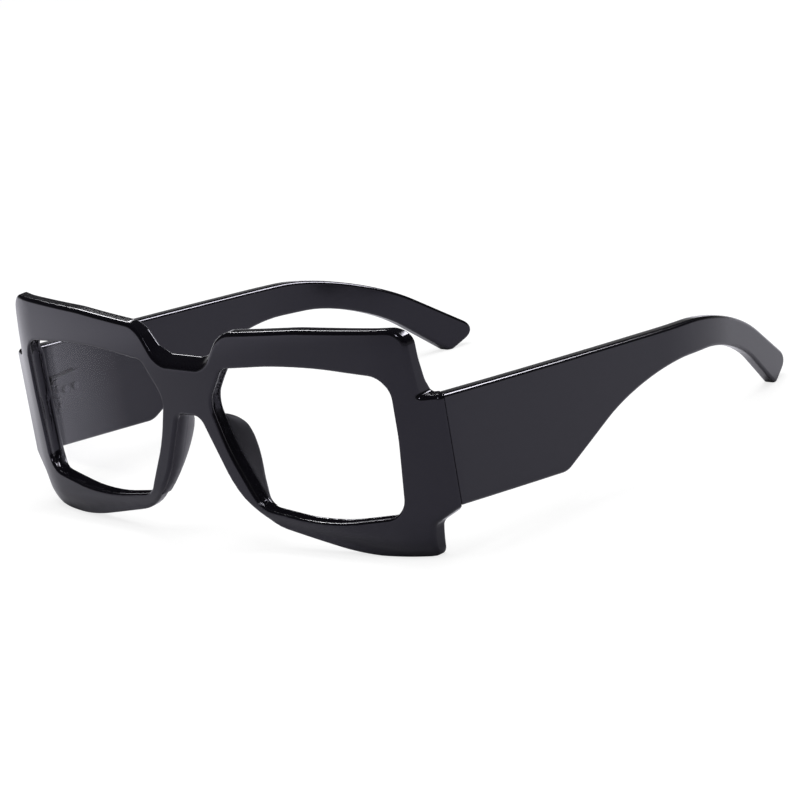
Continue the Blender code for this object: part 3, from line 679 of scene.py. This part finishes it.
# A brighter copy of the sheet, seen only in gloss: painted reflection
painted_reflected_floor = add_node(tree, "ShaderNodeBsdfDiffuse", Color=linear("#f1f0f8"))
glow = add_node(tree, "ShaderNodeEmission", Color=linear("#ffffff"), Strength=0.76)
sheet_place = add_node(
    tree, "ShaderNodeSeparateXYZ", Vector=add_node(tree, "ShaderNodeTexCoord").outputs["Object"]
)
# A glow that grows towards −X, seen only in gloss: painted reflection
painted_side_reflection_ramp = add_node(
    tree, "ShaderNodeMapRange", Value=sheet_place.outputs["X"], From_Min=PAINTED_SIDE_REFLECTION_END,
    From_Max=PAINTED_SIDE_REFLECTION_START, To_Min=0.7, To_Max=0.0,
)
painted_side_reflection = add_node(
    tree, "ShaderNodeEmission", Color=linear("#f1f0f8"), Strength=painted_side_reflection_ramp.outputs[0]
)
painted_reflected_floor = add_node(tree, "ShaderNodeAddShader", in0=painted_reflected_floor.outputs[0], in1=painted_side_reflection.outputs[0])
lit = add_node(tree, "ShaderNodeAddShader", in0=paper.outputs[0], in1=glow.outputs[0])
mirrored = add_node(
    tree, "ShaderNodeMixShader", in0=rays.outputs["Is Glossy Ray"], in1=paper.outputs[0],
    in2=painted_reflected_floor.outputs[0],
)
mixed = add_node(
    tree, "ShaderNodeMixShader", in0=seen.outputs[0], in1=mirrored.outputs[0], in2=lit.outputs[0]
)
add_node(tree, "ShaderNodeOutputMaterial", Surface=mixed.outputs[0])
bm = bmesh.new()
bmesh.ops.create_grid(bm, x_segments=1, y_segments=1, size=FLOOR_REACH)
mesh = bpy.data.meshes.new("floor")
bm.to_mesh(mesh)
bm.free()
mesh.materials.append(floor_paper)
floor = bpy.data.objects.new("floor", mesh)
floor.location = (0, 0, -FLOOR_DROP)
bpy.context.scene.collection.objects.link(floor)

# The studio: white all round for the camera, and in a gloss pale at the horizon under a dark
# ceiling, with plain soft lamps.
CEILING_HEIGHTS = (0.06, 0.19)
HORIZON_GLOSS = 0.35
CEILING_GLOSS = 0.02
FILL = 0.45

world = bpy.data.worlds.new("studio")
bpy.context.scene.world = world
world.use_nodes = True
tree = world.node_tree
tree.nodes.clear()
rays = add_node(tree, "ShaderNodeLightPath")
way = add_node(tree, "ShaderNodeTexCoord").outputs["Generated"]
height = add_node(tree, "ShaderNodeSeparateXYZ", Vector=way).outputs["Z"]
ceiling = add_node(
    tree, "ShaderNodeMapRange", {"interpolation_type": "SMOOTHSTEP"}, Value=height,
    From_Min=CEILING_HEIGHTS[0], From_Max=CEILING_HEIGHTS[1], To_Min=HORIZON_GLOSS,
    To_Max=CEILING_GLOSS,
)
reflected = add_node(
    tree, "ShaderNodeBackground", Color=linear("#ffffff"), Strength=ceiling.outputs[0]
)
plain = add_node(tree, "ShaderNodeBackground", Color=linear("#ffffff"), Strength=1.0)
fill = add_node(tree, "ShaderNodeBackground", Color=linear("#ffffff"), Strength=FILL)
direct = add_node(
    tree, "ShaderNodeMath", {"operation": "MAXIMUM"}, in0=rays.outputs["Is Camera Ray"],
    in1=rays.outputs["Is Transmission Ray"],
)
lighting = add_node(
    tree, "ShaderNodeMixShader", in0=rays.outputs["Is Glossy Ray"], in1=fill.outputs[0],
    in2=reflected.outputs[0],
)
shown = add_node(
    tree, "ShaderNodeMixShader", in0=direct.outputs[0], in1=lighting.outputs[0],
    in2=plain.outputs[0],
)
add_node(tree, "ShaderNodeOutputWorld", Surface=shown.outputs[0])

# Name, place, width and height, watts, and whether matt surfaces and gloss show its light
LAMPS = (
    ("overhead_box", (0.0, 0.0, 1.1), (0.9, 0.9), 8, True, False),
    ("key_box", (0.73, -0.73, 0.81), (0.14, 0.14), 2, False, True),
    ("rear_box", (0.36, 0.98, 0.95), (0.4, 0.28), 11, False, True),
    ("side_box", (-0.98, 0.68, 0.78), (0.35, 0.16), 3.6, False, True),
)
for name, place, (width, height), watts, on_matt, on_gloss in LAMPS:
    light = bpy.data.lights.new(name, "AREA")
    light.shape = "RECTANGLE"
    light.size = width
    light.size_y = height
    light.energy = watts
    lamp = bpy.data.objects.new(name, light)
    lamp.location = place
    lamp.rotation_euler = (-Vector(place)).to_track_quat("-Z", "Y").to_euler()
    lamp.visible_diffuse = on_matt
    lamp.visible_glossy = on_gloss
    bpy.context.scene.collection.objects.link(lamp)

# The camera: a long lens a metre away, ahead of the wearer's left and a little above, with its
# place and turn worked out from matching points on the two halves.
CAMERA_PLACE = Vector((732.8, -741.17, 303.86)) * MM
CAMERA_TURN = (math.radians(74.2425), math.radians(8.2461), math.radians(42.5911))
FOCAL_SHARE = 4183.4 / 800
camera_data = bpy.data.cameras.new("camera")
camera_data.sensor_fit = "HORIZONTAL"
camera_data.sensor_width = 36
camera_data.lens = FOCAL_SHARE * camera_data.sensor_width
camera_data.clip_start = 0.05
camera_data.clip_end = 30
camera = bpy.data.objects.new("camera", camera_data)
camera.location = CAMERA_PLACE
camera.rotation_euler = CAMERA_TURN
bpy.context.scene.collection.objects.link(camera)
bpy.context.scene.camera = camera
bpy.context.scene.view_settings.view_transform = "Standard"
